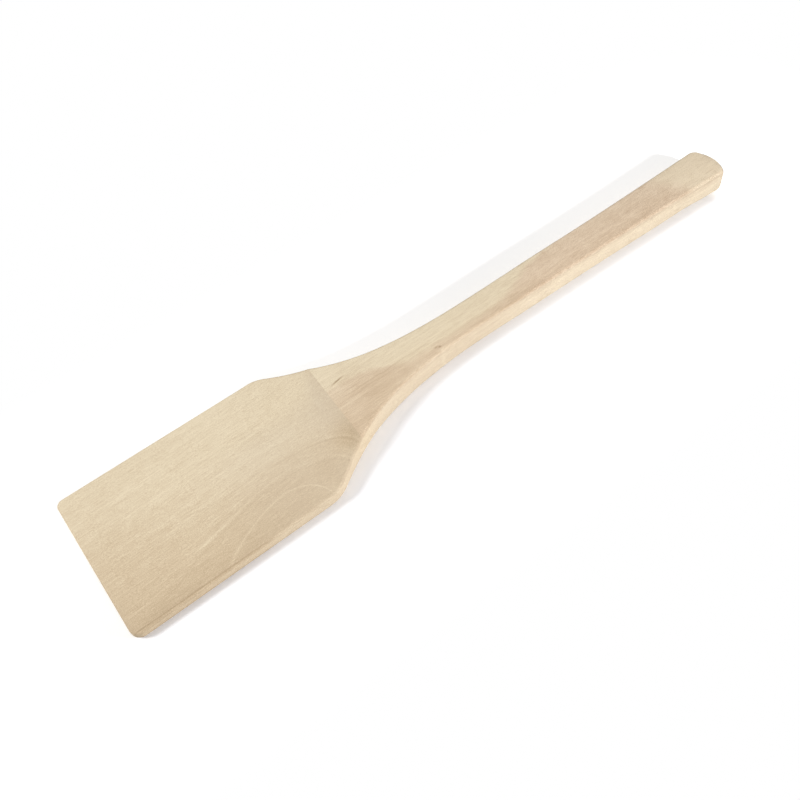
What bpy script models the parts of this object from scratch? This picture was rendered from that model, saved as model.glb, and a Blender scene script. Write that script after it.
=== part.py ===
# Square spatula: a single length of pale wood, lying flat on its underside.
# Metres, +Z up. X runs along the spatula, with the blade at -X and the butt of the handle at +X.
# The origin is on the resting surface, under the middle of the overall length.

from math import atan2, cos, isclose, pi, radians, sin, sqrt, tan

import bmesh
import bpy
from mathutils import Vector
from mathutils.geometry import interpolate_bezier

# Lengths along the spatula, each one measured from the end of the one before it
blade_length = 0.0823
neck_length = 0.0842
handle_length = 0.1335

# Widths seen from above
blade_tip_width = 0.0638
blade_root_width = 0.0617
waist_width = 0.0146
butt_width = 0.0180

# Thicknesses seen from the side
handle_thickness = 0.0100
blade_tip_thickness = 0.0045
blade_root_thickness = 0.0060

# The outline's turns, seen from above
tip_corner_radius = 0.0030
shoulder_radius = 0.0093
shoulder_angle = radians(32.8)
neck_pull_at_shoulder = 0.0240
neck_pull_at_waist = 0.0465
butt_flare_angle = radians(1.7)
butt_corner_radius = 0.0050
butt_crown = 0.0027
widest_corner_share = 0.9

# The scoop that thins the blade: it ends in a crisp crease across the root of the neck
crease_from_shoulder = 0.0183
scoop_length = 0.0290

# How far the edges are rounded over, crisper round the top face than round the underside
blade_top_radius = 0.0009
neck_top_radius = 0.0013
handle_top_radius = 0.0013
butt_top_radius = 0.0035
blade_under_radius = 0.0019
neck_under_radius = 0.0028
handle_under_radius = 0.0017
butt_under_radius = 0.0042
butt_rounding_length = 0.0070
widest_rounding_share = 0.42
widest_corner_inset_share = 0.95

# How finely the curves are cut up
corner_steps = 5
shoulder_steps = 8
scoop_steps = 7
neck_steps = 20
handle_steps = 14
butt_corner_steps = 4
butt_arc_steps = 7
rounding_steps = 4

overall_length = blade_length + neck_length + handle_length
crease_place = blade_length + crease_from_shoulder
scoop_place = crease_place - scoop_length
waist_place = blade_length + neck_length
butt_rounding_place = overall_length - butt_rounding_length
top_radii = (blade_top_radius, neck_top_radius, handle_top_radius, butt_top_radius)
under_radii = (blade_under_radius, neck_under_radius, handle_under_radius, butt_under_radius)


def top_height(place):
    """Height of the top face at a distance from the tip edge."""
    if place >= crease_place:
        return handle_thickness
    taper = min(place / scoop_place, 1)
    blade = blade_tip_thickness + (blade_root_thickness - blade_tip_thickness) * taper
    climb = max(place - scoop_place, 0) / scoop_length
    return blade + (handle_thickness - blade) * climb * climb


def eased(start, end, share):
    """Value that leaves the start and reaches the end without a jerk, as the share goes from 0 to 1."""
    share = min(max(share, 0), 1)
    return start + (end - start) * share * share * (3 - 2 * share)


def edge_radius(place, radii):
    """Rounding of one face's edges, faded from the blade's to the neck's, the handle's and the butt's."""
    blade, neck, handle, butt = radii
    blade_limit = min(blade, widest_corner_inset_share * tip_corner_radius)
    butt_limit = min(butt, widest_corner_inset_share * butt_corner_radius)
    if place < crease_place:
        radius = eased(blade_limit, neck, (place - scoop_place) / scoop_length)
    elif place < butt_rounding_place:
        neck_share = (place - crease_place) / (waist_place - crease_place)
        radius = eased(neck, handle, neck_share)
    else:
        butt_share = (place - butt_rounding_place) / butt_rounding_length
        radius = eased(handle, butt_limit, butt_share)
    return min(radius, widest_rounding_share * top_height(place))


def arc(centre, start, end, steps):
    """Points of the clockwise arc round a centre, from one point to the other, both included."""
    first, last = start - centre, end - centre
    from_angle = atan2(first.y, first.x)
    sweep = (atan2(last.y, last.x) - from_angle - pi) % (2 * pi) - pi
    radius = first.length
    angles = [from_angle + sweep * step / steps for step in range(steps + 1)]
    return [centre + radius * Vector((cos(angle), sin(angle))) for angle in angles]


def rounded_corner(corner, came_along, goes_along, radius, steps):
    """Arc that rounds the corner between two straight directions of travel."""
    reach = radius * tan(came_along.angle(goes_along) / 2)
    start = corner - came_along * reach
    end = corner + goes_along * reach
    inward = Vector((came_along.y, -came_along.x))
    return arc(start + inward * radius, start, end, steps)


def butt_outline():
    """Corner and crowned end of the handle, and the direction in which its side runs into them."""
    half_width = butt_width / 2
    end_radius = (half_width ** 2 + butt_crown ** 2) / (2 * butt_crown)
    corner_radius = min(butt_corner_radius, widest_corner_share * half_width)
    end_centre = Vector((overall_length - end_radius, 0))
    from_middle = half_width - corner_radius
    along = sqrt(max((end_radius - corner_radius) ** 2 - from_middle ** 2, 0))
    corner_centre = end_centre + Vector((along, from_middle))
    side = Vector((cos(butt_flare_angle), sin(butt_flare_angle)))
    start = corner_centre + corner_radius * Vector((-side.y, side.x))
    outward = (corner_centre - end_centre).normalized()
    join = corner_centre + corner_radius * outward
    corner = arc(corner_centre, start, join, butt_corner_steps)
    end = arc(end_centre, join, Vector((overall_length, 0)), butt_arc_steps)
    return corner + end[1:], side


def half_outline():
    """The far half of the outline, from the middle of the tip edge to the middle of the butt's end."""
    tip_corner = Vector((0, blade_tip_width / 2))
    shoulder = Vector((blade_length, blade_root_width / 2))
    across = Vector((0, 1))
    along_blade = (shoulder - tip_corner).normalized()
    down_shoulder = Vector((cos(shoulder_angle), -sin(shoulder_angle)))
    waist = Vector((waist_place, waist_width / 2))

    tip_turn = rounded_corner(tip_corner, across, along_blade, tip_corner_radius, corner_steps)
    shoulder_turn = rounded_corner(shoulder, along_blade, down_shoulder, shoulder_radius, shoulder_steps)
    neck_start = shoulder_turn[-1]
    neck = interpolate_bezier(
        neck_start,
        neck_start + down_shoulder * neck_pull_at_shoulder,
        waist - Vector((neck_pull_at_waist, 0)),
        waist,
        neck_steps + 1,
    )
    butt, butt_side = butt_outline()
    pull = (butt[0].x - waist.x) / 3
    handle = interpolate_bezier(
        waist,
        waist + Vector((pull, 0)),
        butt[0] - butt_side * pull,
        butt[0],
        handle_steps + 1,
    )
    points = [Vector((0, 0))] + tip_turn + shoulder_turn + neck[1:] + handle[1:] + butt[1:]
    points[-1].y = 0
    return points


def inset(points, depths):
    """The half outline moved inwards, each point by its own depth along the mitre of its corner."""
    mirrored_start = Vector((points[1].x, -points[1].y))
    mirrored_end = Vector((points[-2].x, -points[-2].y))
    before = [mirrored_start] + points[:-1]
    after = points[1:] + [mirrored_end]
    moved = []
    for previous, point, following, depth in zip(before, points, after, depths):
        came = (point - previous).normalized()
        goes = (following - point).normalized()
        mitre = Vector((came.y + goes.y, -came.x - goes.x)) / (1 + came.dot(goes))
        moved.append(point + mitre * depth)
    return moved


def with_point_at(row, place):
    """The same row with one more point, where it crosses a distance from the tip edge."""
    for index in range(1, len(row) - 1):
        before, after = row[index], row[index + 1]
        if before.x < place < after.x:
            crossing = before.lerp(after, (place - before.x) / (after.x - before.x))
            return row[:index + 1] + [crossing] + row[index + 1:]
    return row


def rounded_row(outline, radii, inset_share, depth_share):
    """The outline at one step of the rounding, as x, y and depth, with the scoop's stations added."""
    rounding = [edge_radius(point.x, radii) for point in outline]
    moved = inset(outline, [radius * inset_share for radius in rounding])
    row = [Vector((point.x, point.y, radius * depth_share)) for point, radius in zip(moved, rounding)]
    for step in range(scoop_steps + 1):
        row = with_point_at(row, scoop_place + scoop_length * step / scoop_steps)
    return row


def rounding_profile():
    """Inset and depth of each step over a quarter round of unit radius, from the face to the side."""
    angles = [pi / 2 * step / rounding_steps for step in range(rounding_steps + 1)]
    return [(1 - sin(angle), 1 - cos(angle)) for angle in angles]


def add_row(bm, row, heights):
    """One row of vertices round the far half of the spatula."""
    middle = overall_length / 2
    return [bm.verts.new((point.x - middle, point.y, height)) for point, height in zip(row, heights)]


def bridge(bm, lower, upper):
    """Faces between two neighbouring rows of the side wall."""
    for index in range(len(lower) - 1):
        bm.faces.new((lower[index + 1], lower[index], upper[index], upper[index + 1]))


def close_to_middle(bm, ring, faces_up):
    """Flat strips from a row to the centre line, which close the top face or the underside."""
    start, end = ring[0], ring[-1]
    middles = [start] + [bm.verts.new((vert.co.x, 0, vert.co.z)) for vert in ring[2:-1]] + [end]
    outer = ring[1:-1] + [end]
    for index in range(len(outer) - 1):
        corners = [outer[index], outer[index + 1], middles[index + 1], middles[index]]
        corners = list(dict.fromkeys(corners))
        if faces_up:
            corners.reverse()
        bm.faces.new(corners)


def sharpen_crease(bm):
    """Keeps the shading crisp where the top face breaks down into the scoop."""
    crease_x = crease_place - overall_length / 2
    for edge in bm.edges:
        above = all(vert.co.z > handle_thickness / 2 for vert in edge.verts)
        if above and all(isclose(vert.co.x, crease_x, rel_tol=1e-5) for vert in edge.verts):
            edge.smooth = False


def far_half():
    """Mesh of the spatula's far half: underside, rounded edges, side wall and top face."""
    bm = bmesh.new()
    outline = half_outline()
    lower_rows, upper_rows = [], []
    for inset_share, depth_share in rounding_profile():
        under = rounded_row(outline, under_radii, inset_share, depth_share)
        over = rounded_row(outline, top_radii, inset_share, depth_share)
        lower_rows.append(add_row(bm, under, [point.z for point in under]))
        upper_rows.append(add_row(bm, over, [top_height(point.x) - point.z for point in over]))
    rows = lower_rows + upper_rows[::-1]
    for lower, upper in zip(rows, rows[1:]):
        bridge(bm, lower, upper)
    close_to_middle(bm, rows[0], faces_up=False)
    close_to_middle(bm, rows[-1], faces_up=True)
    sharpen_crease(bm)
    mesh = bpy.data.meshes.new("spatula")
    bm.to_mesh(mesh)
    bm.free()
    mesh.shade_smooth()
    return mesh


def pale_wood():
    """Unfinished pale hardwood, planed and sanded."""
    material = bpy.data.materials.new("pale_wood")
    material.use_nodes = True
    shader = material.node_tree.nodes["Principled BSDF"]
    shader.inputs["Base Color"].default_value = (0.70, 0.58, 0.43, 1)
    shader.inputs["Roughness"].default_value = 0.62
    shader.inputs["Metallic"].default_value = 0
    return material


def build_spatula():
    """The whole spatula: its far half, mirrored across the centre line."""
    spatula = bpy.data.objects.new("spatula", far_half())
    bpy.context.collection.objects.link(spatula)
    spatula.data.materials.append(pale_wood())
    mirror = spatula.modifiers.new("near_half", "MIRROR")
    mirror.use_axis = (False, True, False)
    mirror.merge_threshold = 0.00001
    return spatula


for leftover in list(bpy.data.objects):
    bpy.data.objects.remove(leftover)

build_spatula()
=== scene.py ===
from math import atan, atan2, cos, exp, pi, radians, sin, sqrt, tan

import bmesh
import bpy
import numpy as np
from mathutils import Matrix, Vector
from mathutils.geometry import interpolate_bezier


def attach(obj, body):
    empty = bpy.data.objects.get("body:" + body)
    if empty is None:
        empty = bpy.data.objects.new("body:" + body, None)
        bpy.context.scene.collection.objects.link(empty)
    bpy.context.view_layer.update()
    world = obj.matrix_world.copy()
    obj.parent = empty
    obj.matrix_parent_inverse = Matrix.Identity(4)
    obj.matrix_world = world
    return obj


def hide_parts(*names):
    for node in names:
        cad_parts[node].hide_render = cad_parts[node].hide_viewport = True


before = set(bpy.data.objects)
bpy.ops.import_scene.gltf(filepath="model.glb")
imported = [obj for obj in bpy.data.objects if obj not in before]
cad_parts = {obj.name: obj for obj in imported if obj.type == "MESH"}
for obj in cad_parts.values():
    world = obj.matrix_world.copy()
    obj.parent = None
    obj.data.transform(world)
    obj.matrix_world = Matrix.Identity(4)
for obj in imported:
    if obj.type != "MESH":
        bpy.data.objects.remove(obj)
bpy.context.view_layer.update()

print("frame loaded:", sorted(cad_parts))


# Camera: the photograph's own viewing angle

cameraView = {
    "turn": radians(-29.425),  # 0 looks along +Y
    "down": radians(54.180),
    "roll": radians(-8.826),
    "distance": 0.33930,
    "aim": (-0.026800, -0.009128, 0),
    "focalPixels": 901.3,
    "picturePixels": 800,
    "sensorWidth": 36,
    "clipStart": 0.01,
}


def addCamera():
    view = cameraView
    flat = Vector((-sin(view["turn"]), cos(view["turn"]), 0))
    ahead = flat * cos(view["down"]) - Vector((0, 0, sin(view["down"])))
    level = Vector((cos(view["turn"]), sin(view["turn"]), 0))
    upright = level.cross(ahead)
    right = level * cos(view["roll"]) + upright * sin(view["roll"])
    up = upright * cos(view["roll"]) - level * sin(view["roll"])
    bpy.ops.object.camera_add()
    camera = bpy.context.object
    camera.name = "photoCamera"
    turn = Matrix((right, up, -ahead)).transposed().to_4x4()
    camera.matrix_world = Matrix.Translation(Vector(view["aim"]) - ahead * view["distance"]) @ turn
    camera.data.sensor_width = view["sensorWidth"]
    camera.data.lens = view["focalPixels"] / view["picturePixels"] * view["sensorWidth"]
    camera.data.clip_start = view["clipStart"]
    bpy.context.scene.camera = camera


addCamera()
print("camera placed")


# Shape of the spatula, in metres: x is measured from the tip edge, y from the centre line

spatulaShape = {
    "bladeLength": 0.0823,
    "neckLength": 0.0842,
    "handleLength": 0.1335,
    "tipWidth": 0.06370,
    "waistWidth": 0.0146,
    "buttWidth": 0.0180,
    "pullAtShoulder": 0.0240,
    "pullAtWaist": 0.0465,
    "buttFlare": radians(1.7),
    "buttCorner": 0.0050,
    "buttCrown": 0.0027,
    "swellPlace": 0.2040,
    "swellReach": 0.0170,
    "sides": {  # the two sides were cut a little differently
        "near": {
            "tipCorner": 0.0036, "shoulderPlace": 0.0820, "rootWidth": 0.0614,
            "shoulderRadius": 0.0145, "shoulderAngle": radians(32.8), "swell": 0,
        },
        "far": {
            "tipCorner": 0.0026, "shoulderPlace": 0.0838, "rootWidth": 0.0617,
            "shoulderRadius": 0.0120, "shoulderAngle": radians(34.8), "swell": 0.00027,
        },
    },
    "handleThickness": 0.0100,
    "tipThickness": 0.0045,
    "rootThickness": 0.0060,
    "creasePlace": 0.1006,
    "scoopLength": 0.0290,
    "creaseLean": 0.055,  # run along the spatula for each unit across it
    "leanFrom": 0.040,
    "leanTo": 0.145,
    "topArris": [  # place along the spatula, radius of the edges round the top face
        (0, 0.0009), (0.0712, 0.0009), (0.1002, 0.0013), (0.2930, 0.0013), (0.2995, 0.0030), (0.3, 0.0030),
    ],
    "underArris": [
        (0, 0.0019), (0.0712, 0.0019), (0.1002, 0.0026), (0.1075, 0.0025), (0.1160, 0.0019),
        (0.1200, 0.0017), (0.1400, 0.0016), (0.1450, 0.0019), (0.1560, 0.0021), (0.1740, 0.0020),
        (0.1860, 0.0016), (0.2050, 0.0017), (0.2250, 0.0019), (0.2560, 0.0017), (0.2760, 0.0023),
        (0.2860, 0.0012), (0.2955, 0.0009), (0.2995, 0.0040), (0.3, 0.0040),
    ],
    "arrisSegments": 6,
    "outlineSteps": {"corner": 24, "neck": 160, "handle": 120, "end": 40},
    "tipSections": 10,
    "cornerSectionShares": (0.66, 0.76, 0.88, 1),
    "bladeFrom": 0.0060,
    "bladeSections": 9,
    "beforeScoop": 0.0020,
    "scoopSections": 22,
    "pastCrease": 0.0015,
    "neckSections": 44,
    "neckTo": 0.1660,
    "handleFrom": 0.1700,
    "handleSections": 25,
    "handleTo": 0.2890,
    "buttSections": 24,
    "buttReach": 0.0100,
    "leanRounds": 4,
    "least": 0.00003,
    "endTolerance": 0.00001,
    "creaseTolerance": 0.0002,
}
waistPlace = spatulaShape["bladeLength"] + spatulaShape["neckLength"]
overall = waistPlace + spatulaShape["handleLength"]
middle = overall / 2
scoopPlace = spatulaShape["creasePlace"] - spatulaShape["scoopLength"]


def arcPoints(centre, start, end, steps):
    first, last = start - centre, end - centre
    fromAngle = atan2(first.y, first.x)
    sweep = (atan2(last.y, last.x) - fromAngle - pi) % (2 * pi) - pi  # clockwise
    angles = [fromAngle + sweep * step / steps for step in range(steps + 1)]
    return [centre + first.length * Vector((cos(angle), sin(angle))) for angle in angles]


def roundedTurn(corner, came, goes, radius, steps):
    reach = radius * tan(came.angle(goes) / 2)
    start = corner - came * reach
    centre = start + Vector((came.y, -came.x)) * radius
    return arcPoints(centre, start, corner + goes * reach, steps)


# One side's outline, from the tip edge round the corner, shoulder and waist to the middle of the butt
def outlinePoints(side):
    s, own, steps = spatulaShape, spatulaShape["sides"][side], spatulaShape["outlineSteps"]
    tip = Vector((0, s["tipWidth"] / 2))
    shoulder = Vector((own["shoulderPlace"], own["rootWidth"] / 2))
    waist = Vector((waistPlace, s["waistWidth"] / 2))
    along = (shoulder - tip).normalized()
    down = Vector((cos(own["shoulderAngle"]), -sin(own["shoulderAngle"])))
    tipTurn = roundedTurn(tip, Vector((0, 1)), along, own["tipCorner"], steps["corner"])
    shoulderTurn = roundedTurn(shoulder, along, down, own["shoulderRadius"], steps["corner"])
    neck = interpolate_bezier(
        shoulderTurn[-1],
        shoulderTurn[-1] + down * s["pullAtShoulder"],
        waist - Vector((s["pullAtWaist"], 0)),
        waist,
        steps["neck"],
    )
    halfButt = s["buttWidth"] / 2
    endRadius = (halfButt ** 2 + s["buttCrown"] ** 2) / (2 * s["buttCrown"])
    endCentre = Vector((overall - endRadius, 0))
    rise = halfButt - s["buttCorner"]
    cornerCentre = endCentre + Vector((sqrt((endRadius - s["buttCorner"]) ** 2 - rise ** 2), rise))
    flare = Vector((cos(s["buttFlare"]), sin(s["buttFlare"])))
    buttStart = cornerCentre + s["buttCorner"] * Vector((-flare.y, flare.x))
    join = cornerCentre + s["buttCorner"] * (cornerCentre - endCentre).normalized()
    pull = (buttStart.x - waist.x) / 3
    handle = interpolate_bezier(
        waist,
        waist + Vector((pull, 0)),
        buttStart - flare * pull,
        buttStart,
        steps["handle"],
    )
    for point in handle:
        point.y += own["swell"] * exp(-((point.x - s["swellPlace"]) / s["swellReach"]) ** 2)
    butt = arcPoints(cornerCentre, buttStart, join, steps["corner"])
    butt += arcPoints(endCentre, join, Vector((overall, 0)), steps["end"])[1:]
    return np.array([(p.x, p.y) for p in tipTurn + shoulderTurn + neck[1:] + handle[1:] + butt[1:]])


def edgeOf(side):
    points = outlinePoints(side)
    run = np.gradient(points, axis=0)
    run /= np.linalg.norm(run, axis=1)[:, None]
    return points, np.stack([run[:, 1], -run[:, 0]], 1)


edges = {side: edgeOf(side) for side in spatulaShape["sides"]}


def halfWidth(side, place, inset=0):
    points, intoWood = edges[side]
    moved = points + intoWood * inset
    return float(np.interp(place, moved[:, 0], moved[:, 1]))


def eased(table, place):
    for (start, low), (end, high) in zip(table, table[1:]):
        if place <= end:
            share = (place - start) / (end - start)
            return low + (high - low) * share * share * (3 - 2 * share)
    return table[-1][1]


def topHeight(place):
    s = spatulaShape
    if place >= s["creasePlace"]:
        return s["handleThickness"]
    blade = s["tipThickness"] + (s["rootThickness"] - s["tipThickness"]) * min(place / scoopPlace, 1)
    climb = max(place - scoopPlace, 0) / s["scoopLength"]
    return blade + (s["handleThickness"] - blade) * climb * climb


# Where the wood is cut across, closer together where its shape turns faster
def sectionPlaces():
    s = spatulaShape
    quarter = [pi / 2 * step / s["tipSections"] for step in range(s["tipSections"] + 1)]
    tip = [s["underArris"][0][1] * (1 - cos(angle)) for angle in quarter]
    tip += [s["sides"]["near"]["tipCorner"] * share for share in s["cornerSectionShares"]]
    blade = list(np.linspace(s["bladeFrom"], scoopPlace - s["beforeScoop"], s["bladeSections"]))
    scoopShade = list(scoopPlace + s["scoopLength"] * np.linspace(0, 1, s["scoopSections"]))
    neck = list(np.linspace(s["creasePlace"] + s["pastCrease"], s["neckTo"], s["neckSections"]))
    handle = list(np.linspace(s["handleFrom"], s["handleTo"], s["handleSections"]))
    quarter = [pi / 2 * step / s["buttSections"] for step in range(s["buttSections"] + 1)]
    butt = [overall - s["buttReach"] * (1 - sin(angle)) for angle in quarter]
    return tip + blade + scoopShade + neck + handle + butt


# The sections lean with the crease, and stand straight across the tip and the handle
def sectionLean(place):
    s = spatulaShape
    if place < s["creasePlace"]:
        share = (place - s["leanFrom"]) / (s["creasePlace"] - s["leanFrom"])
    else:
        share = (s["leanTo"] - place) / (s["leanTo"] - s["creasePlace"])
    return s["creaseLean"] * max(share, 0)


# How far one pair of arrises reaches across the wood and up it, where a section cuts them
def arrisAt(place, near, far, table):
    least = spatulaShape["least"]
    radius = eased(table, place)
    inset = max(min(place, overall - place, radius), least)
    wide = halfWidth("near", near) + halfWidth("far", far)
    flat = halfWidth("near", near, inset) + halfWidth("far", far, inset)
    most = max(wide / 2, 3 * least) - least
    across = min(max((wide - flat) / 2, least), most)
    upright = sqrt(radius ** 2 - (radius - inset) ** 2)
    return across, upright, radius - upright


# One rounded rectangle across the wood: a plane with its corners bevelled, then stretched and leaned
def addSection(place):
    s = spatulaShape
    lean = sectionLean(place)
    near, far = place, place
    for nextGuess in range(s["leanRounds"]):  # how far each end leans depends on the width there
        near, far = place - lean * halfWidth("near", near), place + lean * halfWidth("far", far)
    nearWide, farWide = halfWidth("near", near), halfWidth("far", far)
    wide = max((nearWide + farWide) / 2, 3 * s["least"])
    topAcross, topUp, topDrop = arrisAt(place, near, far, s["topArris"])
    underAcross, underUp, underRise = arrisAt(place, near, far, s["underArris"])
    stretch = topAcross / topUp
    low, high = underRise, topHeight(place) - topDrop
    centre = Vector(((near + far) / 2 - middle, (farWide - nearWide) / 2, (high + low) / 2))
    bpy.ops.mesh.select_all(action="DESELECT")
    bpy.ops.mesh.primitive_plane_add(size=1, location=centre, rotation=(0, pi / 2, 0))
    bpy.ops.transform.resize(value=(1, 2 * wide / stretch, high - low), center_override=centre)
    bpy.ops.mesh.bevel(offset=topUp, segments=s["arrisSegments"], affect="VERTICES", clamp_overlap=False)
    mesh = bmesh.from_edit_mesh(bpy.context.object.data)
    ring = [vert for vert in mesh.verts if vert.select]
    grow = (1, underAcross / stretch / topUp, underUp / topUp)
    for side in (-1, 1):
        for vert in ring:
            vert.select = vert.co.z < centre.z and (vert.co.y - centre.y) * side > 0
        corner = centre + Vector((0, side * wide / stretch, low - centre.z))
        bpy.ops.transform.resize(value=grow, center_override=corner)
    for vert in ring:
        vert.select = True
    bpy.ops.transform.resize(value=(1, stretch, 1), center_override=centre)
    if lean:
        bpy.ops.transform.rotate(value=atan(lean), orient_axis="Z", center_override=centre)
        bpy.ops.transform.resize(value=(1, sqrt(1 + lean * lean), 1), center_override=centre)


def selectWhere(test):
    bpy.ops.mesh.select_all(action="DESELECT")
    mesh = bmesh.from_edit_mesh(bpy.context.object.data)
    for vert in mesh.verts:
        vert.select = test(vert.co)
    mesh.select_flush(True)
    mesh.select_flush(False)


def buildSpatula():
    s = spatulaShape
    bpy.ops.object.select_all(action="DESELECT")
    bpy.ops.mesh.primitive_plane_add(size=s["least"])
    spatula = bpy.context.object
    spatula.name = "spatulaWood"
    bpy.ops.object.mode_set(mode="EDIT")
    bpy.ops.mesh.select_all(action="SELECT")
    bpy.ops.mesh.delete(type="VERT")
    bpy.ops.mesh.select_mode(type="VERT")
    for place in sectionPlaces():
        addSection(place)
    bpy.ops.mesh.select_all(action="SELECT")
    bpy.ops.mesh.delete(type="ONLY_FACE")
    bpy.ops.mesh.select_all(action="SELECT")
    bpy.ops.mesh.bridge_edge_loops()
    for end in (-middle, middle):
        selectWhere(lambda co: abs(co.x - end) < s["endTolerance"])
        bpy.ops.mesh.edge_face_add()
    bpy.ops.mesh.select_all(action="SELECT")
    bpy.ops.mesh.normals_make_consistent(inside=False)
    crease, half = s["creasePlace"] - middle, s["handleThickness"] / 2
    selectWhere(lambda co: abs(co.x - crease - s["creaseLean"] * co.y) < s["creaseTolerance"] and co.z > half)
    bpy.ops.mesh.mark_sharp()
    bpy.ops.object.mode_set(mode="OBJECT")
    bpy.ops.object.shade_smooth()
    return spatula


spatula = buildSpatula()
print("spatula shaped:", len(spatula.data.vertices), "vertices")


perMetre = 1000  # millimetres, in which every pattern below is drawn


# Shader maths: a socket that can be summed and multiplied, where each sign makes one Math node
class Wire:
    def __init__(self, board, socket):
        self.board = board
        self.socket = socket

    def __add__(self, other):
        return self.board.maths("ADD", self, other)

    def __radd__(self, other):
        return self.board.maths("ADD", other, self)

    def __sub__(self, other):
        return self.board.maths("SUBTRACT", self, other)

    def __rsub__(self, other):
        return self.board.maths("SUBTRACT", other, self)

    def __mul__(self, other):
        return self.board.maths("MULTIPLY", self, other)

    def __rmul__(self, other):
        return self.board.maths("MULTIPLY", other, self)

    def __truediv__(self, other):
        return self.board.maths("DIVIDE", self, other)

    def __rtruediv__(self, other):
        return self.board.maths("DIVIDE", other, self)

    def __pow__(self, other):
        return self.board.maths("POWER", self, other)

    def __neg__(self):
        return self.board.maths("MULTIPLY", self, -1)

    def __abs__(self):
        return self.board.maths("ABSOLUTE", self)

    def exp(self):
        return self.board.maths("EXPONENT", self)

    def most(self, other):
        return self.board.maths("MINIMUM", self, other)

    def least(self, other):
        return self.board.maths("MAXIMUM", self, other)

    def hill(self, centre, width):  # 1 at the centre, falling off like a bell
        return (-((self - centre) / width) ** 2).exp()

    def step(self, start, end):  # 0 before the start and 1 after the end, also where the end is the lower one
        ends = {"From Min": start, "From Max": end}
        if start > end:
            ends = {"From Min": end, "From Max": start, "To Min": 1, "To Max": 0}
        settings = {"interpolation_type": "SMOOTHSTEP"}
        return self.board.node("ShaderNodeMapRange", settings, {"Value": self, **ends})["Result"]

    def window(self, start, end, soft):  # 1 from the start to the end, with soft ends
        return self.step(start - soft, start + soft) * self.step(end + soft, end - soft)


# One material's nodes
class Board:
    def __init__(self, name):
        self.material = bpy.data.materials.new(name)
        self.material.use_nodes = True
        self.tree = self.material.node_tree
        self.tree.nodes.clear()

    def node(self, kind, settings, inputs):
        node = self.tree.nodes.new(kind)
        for key, value in settings.items():
            setattr(node, key, value)
        for key, value in inputs.items():
            socket = node.inputs[key]
            if isinstance(value, Wire):
                self.tree.links.new(value.socket, socket)
            else:
                socket.default_value = value
        return {output.name: Wire(self, output) for output in node.outputs if output.enabled}

    def maths(self, operation, *values):
        inputs = dict(enumerate(values))
        return self.node("ShaderNodeMath", {"operation": operation}, inputs)["Value"]

    def millimetres(self):
        place = self.node("ShaderNodeTexCoord", {}, {})["Object"]
        scaling = {"Vector": place, "Scale": (perMetre, perMetre, perMetre)}
        scaled = self.node("ShaderNodeMapping", {}, scaling)["Vector"]
        axes = self.node("ShaderNodeSeparateXYZ", {}, {"Vector": scaled})
        return {"x": axes["X"], "y": axes["Y"], "z": axes["Z"]}

    def vector(self, x, y, z):
        return self.node("ShaderNodeCombineXYZ", {}, {"X": x, "Y": y, "Z": z})["Vector"]

    def noise(self, place, detail=2, roughness=0.5):  # soft, about 0, mostly between -1 and 1
        inputs = {"Vector": place, "Scale": 1, "Detail": detail, "Roughness": roughness}
        return (self.node("ShaderNodeTexNoise", {}, inputs)["Fac"] - 0.5) * 4

    def mix(self, share, first, second, blend="MIX"):
        settings = {"data_type": "RGBA", "blend_type": blend}
        return self.node("ShaderNodeMix", settings, {0: share, 6: first, 7: second})["Result"]

    def finish(self, shader):
        self.node("ShaderNodeOutputMaterial", {}, {"Surface": shader})
        return self.material


# A colour as a screen shows it, 0 to 255, turned into light
def screenColour(red, green, blue):
    shares = [level / 255 for level in (red, green, blue)]
    return tuple(s / 12.92 if s < 0.04045 else ((s + 0.055) / 1.055) ** 2.4 for s in shares) + (1,)


# A base value and the rows of a table: each row is an amount, times a field by its name,
# or times a hill, step or window along a field
def addRows(base, rows, fields):
    total = base
    for amount, *factors in rows.values():
        part = amount
        for factor in factors:
            if isinstance(factor, str):
                part = fields[factor] * part
            else:
                name, kind, *places = factor
                part = getattr(fields[name], kind)(*places) * part
        total = part + total
    return total


# The wood: pale and straight-grained, with a reddish heart streak and growth-ring arcs on the blade.
# Places are in millimetres from the spatula's middle, tones are red levels as a screen shows them.
# Some rows paint light and shade into the wood's colour: shade down the scoop, at the crease, on some arrises
# and at the foot of the blade's wall, and highlights on the blade's near arris, the butt's end and the
# handle's lower wall.

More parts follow.
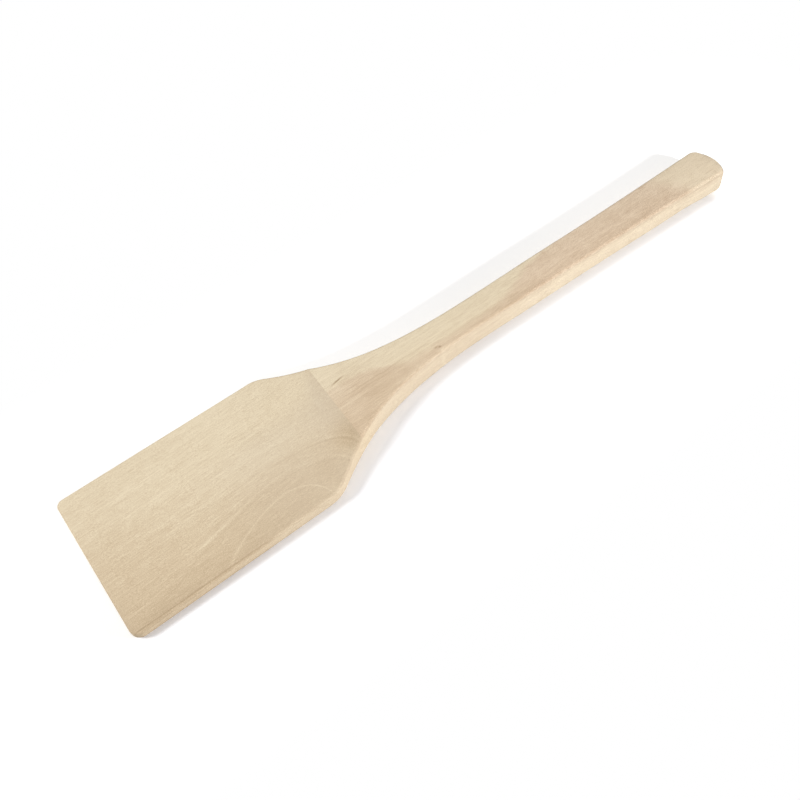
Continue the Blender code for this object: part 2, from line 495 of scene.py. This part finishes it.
woodLook = {
    "colours": {  # from the palest wood to the darkest marks
        0.000: (240, 225, 196),
        0.078: (233, 218, 189),
        0.144: (227, 211, 181),
        0.211: (221, 203, 173),
        0.300: (213, 193, 162),
        0.411: (203, 182, 151),
        1.000: (150, 126, 96),
    },
    "paleLevel": 240,
    "darkLevel": 150,

    "rings": {  # the lines of equal growth: straight along the blade, bent at the tip and towards the neck
        "bendPlace": -84, "tipLift": 8.9, "tipReach": 25.5, "tipPower": 1.5,
        "neckLift": 0.0134, "innerLift": 0.030, "fadePlace": -20, "fadeWidth": 15.8,
        "sink": 0.8, "wander": 0.4, "wanderAlong": 0.03, "wanderAcross": 0.05, "wanderSeed": 3,
    },
    "slantedFields": {  # shares of x, y and z
        "end": (1, 0.55, 0),
        "fleckAxis": (-0.2, 1, 0),
        "smudgeAxis": (0.1, 1, 0),
        "notchAxis": (1, -0.7, 0),
        "lineAxis": (0.010, 0, 1),
    },
    "wavyFields": {  # y with a wave: height and seed
        "seamAxis": (0.45, 0),
        "secondSeamAxis": (0.4, 0),
        "edgeAxis": (0.08, 20),
    },
    "waveLength": 0.09,

    # painted shade down the scoop towards the crease, where the top face tilts away from the light; partly
    # the wood's own darker figure there
    "shadeRows": {
        "wholeRoot": (1, ("along", "step", -68, -51), ("y", "step", 20, -4)),
        "creaseFoot": (1, ("along", "step", -57, -49), ("y", "step", 26, 10)),
    },
    "bladeTone": 209,
    "bladeRows": {
        "middleRings": (7, ("rings", "step", -18, -8)),
        "farRings": (6, ("rings", "step", -10, 2)),
        "outerRings": (6, ("rings", "step", 0, 16)),
        "paleMiddle": (5, ("x", "hill", -84, 20), ("y", "hill", -1, 9)),
        "darkInner": (-2, ("inner", "step", -17, -21)),
        "darkTip": (-7, ("x", "step", -112, -152), ("y", "step", 34, 6)),
        "paleFar": (3, ("x", "hill", -85, 14), ("y", "step", 12, 20)),
        "paleFarEdge": (4, ("x", "hill", -88, 24), ("y", "step", 23, 28)),
        "scoopShade": (-4.5, "shade"),
        # painted shade: the blade darker right at the crease line
        "creaseShadeFar": (-3, ("along", "step", -53, -49.5), ("y", "step", 4, 12)),
        "creaseShadeNear": (-3, ("along", "step", -53, -49.5), ("y", "step", -4, -8)),
    },
    "heartEdge": 5.5,  # the y below which the heart streak lies
    "heartEdgeRows": {
        "dip": (-8.5, ("x", "step", -40, -14)),
        "climb": (10, ("x", "step", 22, 60)),
        "wholeHandle": (30, ("x", "step", 60, 84)),
    },
    "heartWave": {"height": 0.8, "seed": 30},
    "heartRagged": {"height": 0.8, "along": 0.15, "across": 0.3, "seed": 2},
    "heartSoft": (-1.6, 2.2),
    "heartUntil": (129, 117),
    "neckTone": 228,
    "neckRows": {
        "nearStreak": (-8, ("y", "step", -1, -5), ("x", "hill", 30, 24)),
        "paleFarEdge": (7, ("y", "step", 5, 7), ("x", "hill", 85, 22)),
        "heart": (-6, "heart"),
        "heartRoot": (-5, "heart", ("x", "step", -14, -22)),
        "heartNear": (-4, "heart", ("x", "hill", -34, 11), ("y", "step", 3, -5)),
        "heartHandle": (-3.5, "heart", ("y", "step", -2, -7), ("x", "step", 15, 35)),
        "farRoot": (-4, ("y", "step", 2, 8), ("x", "hill", -42, 9), ("y", "step", 9, 4)),
        "darkHandle": (-3, ("x", "hill", 98, 22)),
        "darkHandleNear": (-2, ("x", "hill", 84, 14), ("y", "step", -2, -7)),
        "paleHandleFar": (4, ("y", "step", -2, 3), ("x", "step", 40, 90)),
        "paleWaist": (2, ("x", "hill", 2, 24), ("y", "step", -1, 3)),
        "paleWaistEdge": (4, ("y", "step", 3.2, 5.2), ("x", "window", -34, 56, 8)),
        "paleCrease": (6, ("along", "step", -38, -46), ("y", "step", -7, -3)),
        "darkCrease": (-5, ("x", "hill", -44, 4), ("y", "step", -10, -13)),
    },
    "buttTone": 236,
    "buttFrom": (117, 130),
    "wallTone": 211,
    "wallRows": {
        "blade": (6, ("x", "step", -130, -90)),
        "shoulder": (3, ("x", "step", -62, -45)),
        "waist": (-3, ("x", "hill", 14, 22)),
        # painted light: the wall's lower band made paler, as the lamps light the wall more than its arris
        "litLowerHandle": (7, "lowerBand", ("x", "step", -5, 50)),
        "litLowerButt": (4, "lowerBand", "grey"),
        # painted light from the table on the foot of the handle's wall
        "handleFootLight": (7, ("z", "step", 1.9, 0.6), ("x", "step", 20, 60)),
        # painted shade at the foot of the blade's wall, next to the table
        "bladeFootShade": (-12, ("z", "step", 3.2, 1.0), ("x", "step", -70, -95)),
    },
    # painted light: the paler lower band of the wall
    "bandDepth": 4.6,  # how far down the wall its paler lower band starts
    "bandRows": {
        "handle": (-2.1, ("x", "step", 20, 58)),
        "butt": (1.6, ("x", "step", 104, 128)),
    },
    "bandSoft": (-0.5, 0.5),
    "topSkin": (1.4, 0.4),  # depths between which marks on the top face fade out
    "wallDepth": (0.5, 1.2),
    "creaseSoft": (-49.55, -49.15),
    "handleShare": (20, 50),
    "neckShare": (45, 25),

    # Noise in the wood: what it follows, how fast it changes along and across, its seed, detail and
    # roughness, and how strong it is everywhere, more on the neck, and more on the handle
    "grain": {
        "broad": ("rings", 0.008, 0.28, 0, 1, 0.5, 1.5, 1.8, 0),
        "lines": ("rings", 0.014, 0.95, 5, 2, 0.6, 2.4, 2.6, 0),
        "fine": ("rings", 0.035, 2.4, 9, 2, 0.6, 2.6, 1, 0),
        "cloud": ("wood", 0.17, 0.20, 0, 3, 0.6, 1.4, 0, 4.6),
        "streaky": ("wood", 0.30, 1.35, 0, 3, 0.7, 2.2, 2, 8),
        "threads": ("wood", 0.16, 2.8, 9, 2, 0.7, 8, 0, 0),
        "fibres": ("wood", 2.4, 4.4, 0, 1, 0.8, 16, 0, 12),
    },
    "pores": ("wood", 0.22, 3.6, 40, 1, 0.5),
    "poreDepth": 9,
    "poreSteps": (0.45, 1.1),
    "thinLines": ("rings", 0.018, 1.5, 17, 1, 0.5),
    "thinDepth": 7,
    "thinPale": (0.50, 0.95),
    "thinDark": (-0.55, -1.0),
    "thinPatches": ("rings", 0.06, 0.5, 23, 2, 0.5),
    "thinPatchLift": 0.5,
    "thinPatchMost": 1.2,

    "brokenBase": 0.75,  # how the arcs come and go along their run
    "brokenHeight": 0.5,
    "brokenStretch": 2.2,
    "brokenSeed": 12,
    "marks": {
        "innerArc": (12, "onTop", ("inner", "hill", -19, 0.30), ("x", "window", -112, -70.2, 0.5),
                     ("y", "step", -31.2, -30.2)),
        "longArcTip": (12, "onTop", "broken", ("rings", "hill", -12, 0.34), ("x", "window", -120, -103, 3)),
        "longArcMiddle": (4.2, "onTop", "broken", ("rings", "hill", -12, 0.34),
                          ("x", "window", -103, -78, 3)),
        "longArcRoot": (6, "onTop", "broken", ("rings", "hill", -12, 0.34), ("x", "window", -66, -57, 2)),
        "longArcShade": (-3, "onTop", ("rings", "hill", -13.1, 0.5), ("x", "window", -120, -57, 4)),
        "darkArc": (-10, "onTop", ("rings", "hill", -6.6, 0.34), ("x", "window", -80, -50.5, 5)),
        "rootArc": (7, "onTop", "broken", ("rings", "hill", -5.8, 0.30), ("x", "window", -70, -51, 3)),
        "outerArc": (7, "onTop", "broken", ("rings", "hill", -2.6, 0.28), ("x", "window", -128, -103, 3)),
        "tipArc": (6, "onTop", "broken", ("rings", "hill", -6.6, 0.30), ("x", "window", -146, -130, 4)),
        "shortArc": (6, "onTop", "broken", ("rings", "hill", -9.6, 0.28), ("x", "window", -116, -96, 4)),
        "shoulderShade": (-5, "onTop", ("x", "hill", -65.5, 4.2), ("y", "hill", -19, 5)),
        "creaseEndShade": (-10, "onTop", ("x", "hill", -53, 5), ("y", "hill", -15, 7)),
        "nearStrip": (-3, "onTop", ("y", "step", -19, -27), ("x", "window", -160, -76, 4)),
        "nearStripTip": (-5, "onTop", ("y", "step", -26.5, -29.5), ("x", "step", -84, -108),
                         ("x", "window", -160, -76, 4)),
        "nearEdgeLine": (-19, ("edgeAxis", "hill", -30.68, 0.30), ("x", "window", -151, -96, 5)),
        # painted highlight along the blade's near top arris, stronger towards the shoulder
        "nearArrisHighlight": (5, ("depth", "hill", 0.45, 0.32), ("y", "step", -29, -30.5)),
        "nearArrisRootHighlight": (5, ("depth", "hill", 0.45, 0.32), ("y", "step", -29, -30.5),
                          ("x", "step", -104, -94)),
        # painted shade: the handle's near arris made darker than its lighting leaves it
        "handleArrisShade": (-9, ("depth", "hill", 1.1, 0.8), ("y", "step", -3, -6), ("x", "window", -26, 150, 6)),
        # painted shade along the far arris, which faces away from the light
        "farArrisShade": (-9, ("depth", "hill", 0.4, 0.25), ("y", "step", 20, 26)),
        # painted highlight on the rounded end of the butt, where the right lamp catches it
        "buttEndHighlight": (12, ("depth", "step", 0.15, 0.5), ("x", "step", 146.0, 147.6), ("y", "step", -8, -4)),
        "tipEndGrain": (-4, ("x", "step", -149.1, -149.9)),
        "handleLine": (-9, ("lineAxis", "hill", 9.7, 0.30), ("y", "step", -4, -6),
                       ("x", "window", 88, 143, 8)),
        "handleLineShade": (-9, ("x", "hill", 138, 10), ("depth", "hill", 1.1, 0.9), ("y", "step", -3, -6)),
        "seam": (-7.5, "onTop", ("seamAxis", "hill", -0.9, 0.30), ("x", "window", -50, -8, 3)),
        "secondSeam": (-4.5, "onTop", ("secondSeamAxis", "hill", 1.4, 0.25), ("x", "window", 4, 26, 3)),
        "fleck": (-52, "onTop", ("fleckAxis", "hill", 15.4, 0.30), ("x", "hill", -43.2, 2.5)),
        "fleckGleam": (6, "onTop", ("fleckAxis", "hill", 14.55, 0.30), ("x", "hill", -41.5, 3.6)),
        "smudge": (-4, "onTop", ("smudgeAxis", "hill", -10.5, 2.2), ("x", "hill", -35, 6)),
        "knot": (-33, "onTop", ("x", "hill", -5.4, 0.8), ("y", "hill", -4.7, 0.4)),
        "knotDot": (-42.9, "onTop", ("x", "hill", -4.1, 0.5), ("y", "hill", -5.3, 0.5)),
        "notch": (5, ("notchAxis", "hill", 1.1, 0.8), ("y", "step", -5.5, -7)),
    },

    "warmShoulder": (1, ("y", "hill", -16, 8), ("x", "hill", -54, 8)),
    "tints": {  # colour, how it is laid over the wood, and where
        "reddish": ((254.5, 249, 252), "MULTIPLY", {
            "heart": (0.6, "neckSkin", "heart"),
            "heartHandle": (0.4, "neckSkin", "heart", ("x", "step", 22, 50)),
            "butt": (0.35, "neckSkin", "grey"),
        }),
        "coolBlade": ((212, 198, 178), "MIX", {
            # painted shade: the scoop's cool grey tint follows the painted crease shade
            "scoopShade": (0.28, "shadeAtMost", "coolPlaces"),
            "middle": (0.22, "coolPlaces", ("x", "hill", -75, 25), ("y", "step", 14, 2)),
        }),
        "paleWall": ((219, 207, 190), "MIX", {
            "wall": (0.28, ("depth", "step", 0.2, 0.9), ("x", "step", -55, -35)),
        }),
    },
    "tintSkin": (1.4, 0.2),

    "roughness": 0.62,
    "roughnessOfLines": 0.05,
    "roughnessOfFibres": 0.05,
    "reliefOf": {"fibres": 0.5, "fine": 0.3, "streaky": 0.4},
    "bumpStrength": 0.35,
    "bumpDistance": 0.00004,
    "specular": 0.25,
}


def wave(board, x, seed):
    return board.noise(board.vector(x * woodLook["waveLength"], seed, 0))


# Noise that follows the growth rings, or goes through the wood from face to face
def grainNoise(board, fields, follows, along, across, seed, detail, roughness):
    if follows == "wood":
        place = board.vector(fields["x"] * along, fields["y"] * across, fields["z"] * across + seed)
    else:
        place = board.vector(fields["x"] * along, fields[follows] * across, seed)
    return board.noise(place, detail, roughness)


# Depth below the top face, and the growth rings at each place of the wood
def addWoodFields(board, fields):
    s, r = spatulaShape, woodLook["rings"]
    x, y, z = fields["x"], fields["y"], fields["z"]
    scoopFrom, scoopTo = (scoopPlace - middle) * perMetre, (s["creasePlace"] - middle) * perMetre
    tip, root, handle = (s[part + "Thickness"] * perMetre for part in ("tip", "root", "handle"))
    along = x - y * s["creaseLean"]
    blade = tip + ((along + middle * perMetre) / (scoopPlace * perMetre)).most(1) * (root - tip)
    climb = ((along - scoopFrom) / (scoopTo - scoopFrom)).least(0).most(1)
    depth = blade + (handle - blade) * climb * climb - z
    toTip = (r["bendPlace"] - x).least(0) / r["tipReach"]
    toNeck = (x.most(scoopTo) - r["bendPlace"]).least(0)
    fade = (-(y - r["fadePlace"]) / r["fadeWidth"]).exp()
    tipLift = r["tipLift"] * (1 - (-(toTip ** r["tipPower"])).exp())
    wander = board.noise(board.vector(x * r["wanderAlong"], y * r["wanderAcross"], r["wanderSeed"]))
    straight = y + wander * r["wander"] - depth * r["sink"]
    fields["along"], fields["depth"] = along, depth
    fields["rings"] = straight + (tipLift + r["neckLift"] * toNeck ** 2) * fade
    fields["inner"] = straight + (tipLift + r["innerLift"] * toNeck ** 2) * fade
    for name, shares in woodLook["slantedFields"].items():
        fields[name] = sum(field * share for field, share in zip((x, y, z), shares) if share)
    for name, (height, seed) in woodLook["wavyFields"].items():
        fields[name] = y + wave(board, x, seed) * height


# Where the heart streak, the greyer butt, the neck, the painted shade of the scoop, the wall's painted
# lighter band and the marks on the top face lie
def addWoodMasks(board, fields):
    w = woodLook
    x, y, depth = fields["x"], fields["y"], fields["depth"]
    ragged = w["heartRagged"]
    unsure = wave(board, x, w["heartWave"]["seed"]) * w["heartWave"]["height"]
    place = board.vector(x * ragged["along"], y * ragged["across"], ragged["seed"])
    unsure = unsure + board.noise(place) * ragged["height"]
    heartEdge = addRows(w["heartEdge"], w["heartEdgeRows"], fields)
    fields["heart"] = (heartEdge - y + unsure).step(*w["heartSoft"]) * fields["end"].step(*w["heartUntil"])
    fields["grey"] = fields["end"].step(*w["buttFrom"])
    fields["past"] = fields["along"].step(*w["creaseSoft"])
    fields["onTop"] = depth.step(*w["topSkin"])
    fields["neckSkin"] = fields["past"] * depth.step(*w["tintSkin"])
    # painted shade down the scoop towards the crease
    fields["shade"] = addRows(0, w["shadeRows"], fields)
    fields["shadeAtMost"] = fields["shade"].most(1)
    warm = addRows(0, {"shoulder": w["warmShoulder"]}, fields)
    fields["coolPlaces"] = (1 - fields["past"]) * (1 - warm)
    # painted light: the wall's paler lower band
    fields["lowerBand"] = (depth - addRows(w["bandDepth"], w["bandRows"], fields)).step(*w["bandSoft"])
    brokenWave = wave(board, x * w["brokenStretch"], w["brokenSeed"])
    fields["broken"] = w["brokenBase"] + w["brokenHeight"] * brokenWave


# The red level of the wood at each place, with its painted shade and highlights
def woodTone(board, fields, noises):
    w = woodLook
    x = fields["x"]
    blade = addRows(w["bladeTone"], w["bladeRows"], fields)
    neck = addRows(w["neckTone"], w["neckRows"], fields)
    wall = addRows(w["wallTone"], w["wallRows"], fields)
    neck = neck + (w["buttTone"] - neck) * fields["grey"]
    tone = blade + (neck - blade) * fields["past"]
    tone = tone + (wall - tone) * fields["depth"].step(*w["wallDepth"])

    handleShare = x.step(*w["handleShare"])
    neckShare = fields["past"] * x.step(*w["neckShare"])
    for name, (*pattern, everywhere, onNeck, onHandle) in w["grain"].items():
        noises[name] = grainNoise(board, fields, *pattern)
        tone = tone + noises[name] * (everywhere + neckShare * onNeck + handleShare * onHandle)
    pores = grainNoise(board, fields, *w["pores"])
    tone = tone - pores.step(*w["poreSteps"]) * w["poreDepth"]
    thin = grainNoise(board, fields, *w["thinLines"])
    thin = (thin.step(*w["thinPale"]) - thin.step(*w["thinDark"])) * w["thinDepth"]
    patches = grainNoise(board, fields, *w["thinPatches"]) + w["thinPatchLift"]
    tone = tone + thin * patches.least(0).most(w["thinPatchMost"]) * (1 - handleShare)
    return addRows(tone, w["marks"], fields)


def paleWood():
    w = woodLook
    board = Board("paleWoodFinish")
    fields, noises = board.millimetres(), {}
    addWoodFields(board, fields)
    addWoodMasks(board, fields)
    tone = woodTone(board, fields, noises)

    share = (w["paleLevel"] - tone) / (w["paleLevel"] - w["darkLevel"])
    colour = board.node("ShaderNodeValToRGB", {}, {"Fac": share})["Color"]
    stops = colour.socket.node.color_ramp.elements
    while len(stops) < len(w["colours"]):
        stops.new(0.5)
    for stop, (at, levels) in zip(stops, w["colours"].items()):
        stop.position = at
        stop.color = screenColour(*levels)
    for levels, blend, rows in w["tints"].values():
        colour = board.mix(addRows(0, rows, fields), colour, screenColour(*levels), blend)

    roughness = w["roughness"] + w["roughnessOfLines"] * noises["lines"]
    roughness = roughness + w["roughnessOfFibres"] * noises["fibres"]
    relief = sum(noises[name] * height for name, height in w["reliefOf"].items())
    bump = board.node(
        "ShaderNodeBump", {},
        {"Strength": w["bumpStrength"], "Distance": w["bumpDistance"], "Height": relief},
    )
    shader = board.node(
        "ShaderNodeBsdfPrincipled", {},
        {
            "Base Color": colour, "Roughness": roughness,
            "Normal": bump["Normal"], "Specular IOR Level": w["specular"],
        },
    )
    return board.finish(shader["BSDF"])


spatula.data.materials.append(paleWood())
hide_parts("spatula")
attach(spatula, "root")
print("wood finished")


# The table: white to the camera, with the spatula's shadows as soft as in the photograph.
# Its size is in metres, the places on it in millimetres from the spatula's middle.

tableLook = {
    "size": 6,
    "plain": (0.85, 0.85, 0.85, 1),  # how it lights the wood
    "seen": (0.5, 0.5, 0.5, 1),  # how much of it takes shadow, to the camera
    "glowFrom": (50, 90),  # distance from the spatula over which the shadows' part turns plain white
    "nearLift": 0.545,  # how much paler its shadows are made, here and below on the far side
    "handleFrom": (-15, 15),
    "handleLift": 0.49,
    "handleRows": {
        "outside": (0.18, ("y", "step", -10.5, -15.0)),
        "butt": (1.2, ("x", "step", 138, 150)),
    },
    # painted shade: "waist" darkens the shadow beside the neck; painted light: "rim" pales its outer ring
    "nearRows": {
        "waist": (-0.02, ("x", "hill", -27, 16), ("y", "hill", -18, 4)),
        "rim": (0.05, ("rimAxis", "hill", -1.3, 1.8), ("x", "step", -78, -60), ("x", "step", -28, -38)),
    },
    "rimSlope": 0.467,
    "farLift": 0.74,
    "farRows": {
        "tip": (0.12, ("x", "step", -150, -90)),
        "handle": (0.17, ("x", "step", 20, 130)),
    },
    "farSide": (-4, 6),
    "tipEnd": (-148, -152),
    "nearGreen": 0.03,  # the near shadow is a little bluer than the far one
    "nearBlue": 0.10,
}


def tableWhite():
    t = tableLook
    board = Board("whiteTable")
    fields = board.millimetres()
    x, y = fields["x"], fields["y"]
    fields["rimAxis"] = y - t["rimSlope"] * x
    beyond = (abs(x) - middle * perMetre).least(0)
    away = (beyond ** 2 + y ** 2) ** 0.5
    besideHandle = addRows(t["handleLift"], t["handleRows"], fields)
    near = t["nearLift"] + (besideHandle - t["nearLift"]) * x.step(*t["handleFrom"])
    near = addRows(near, t["nearRows"], fields)
    far = addRows(t["farLift"], t["farRows"], fields)
    farShare = y.step(*t["farSide"]).least(x.step(*t["tipEnd"]))
    lift = near + (far - near) * farShare
    nearShare = 1 - farShare
    lift = board.vector(lift, lift * (1 + t["nearGreen"] * nearShare), lift * (1 + t["nearBlue"] * nearShare))
    plain = board.node("ShaderNodeBsdfDiffuse", {}, {"Color": t["plain"]})["BSDF"]
    seen = board.node("ShaderNodeBsdfDiffuse", {}, {"Color": t["seen"]})["BSDF"]
    lifted = board.node("ShaderNodeBsdfDiffuse", {}, {"Color": lift})["BSDF"]
    bright = board.node("ShaderNodeAddShader", {}, {0: seen, 1: lifted})["Shader"]
    glow = board.node("ShaderNodeEmission", {}, {"Color": (1, 1, 1, 1), "Strength": 1})["Emission"]
    fartherOut = away.step(*t["glowFrom"])
    bright = board.node("ShaderNodeMixShader", {}, {0: fartherOut, 1: bright, 2: glow})["Shader"]
    toCamera = board.node("ShaderNodeLightPath", {}, {})["Is Camera Ray"]
    return board.finish(board.node("ShaderNodeMixShader", {}, {0: toCamera, 1: plain, 2: bright})["Shader"])


def addTable():
    bpy.ops.object.select_all(action="DESELECT")
    bpy.ops.mesh.primitive_plane_add(size=tableLook["size"])
    table = bpy.context.object
    table.name = "table"
    table.data.materials.append(tableWhite())


# The studio: two disc lamps and an even light from all round

studio = {
    "around": 0.28,
    "aroundColour": (1, 0.99, 0.98, 1),
    "measuredAt": (0.03, 0, 0.011),  # just above the handle, where each lamp gives its share of the light
    "lamps": {
        "right": {
            "place": (0.215, -0.360, 0.200), "aim": (-0.6, 0, 0), "size": 0.050,
            "light": 0.33, "colour": (1, 0.985, 0.995),
        },
        "left": {
            "place": (-0.75, 0.285, 0.70), "aim": (0, 0, 0), "size": 0.34,
            "light": 0.39, "colour": (1, 1, 1),
        },
    },
}


def addLamp(side):
    look = studio["lamps"][side]
    place = Vector(look["place"])
    bpy.ops.object.light_add(type="AREA", location=place)
    lamp = bpy.context.object
    lamp.name = side + "Lamp"
    ahead = (Vector(look["aim"]) - place).normalized()
    lamp.rotation_mode = "QUATERNION"
    lamp.rotation_quaternion = ahead.to_track_quat("-Z", "Y")
    lamp.data.shape = "DISK"
    lamp.data.size = look["size"]
    lamp.data.color = look["colour"]
    gap = Vector(studio["measuredAt"]) - place
    fallOff = ahead.dot(gap) * -gap.z / gap.length ** 4
    lamp.data.energy = look["light"] * pi * pi / fallOff


def addRoomLight():
    world = bpy.data.worlds.new("roomLight")
    world.use_nodes = True
    background = world.node_tree.nodes["Background"]
    background.inputs["Color"].default_value = studio["aroundColour"]
    background.inputs["Strength"].default_value = studio["around"]
    bpy.context.scene.world = world


addTable()
print("table laid")
for lampSide in studio["lamps"]:
    addLamp(lampSide)
addRoomLight()
bpy.context.scene.view_settings.view_transform = "Standard"
print("studio lit")
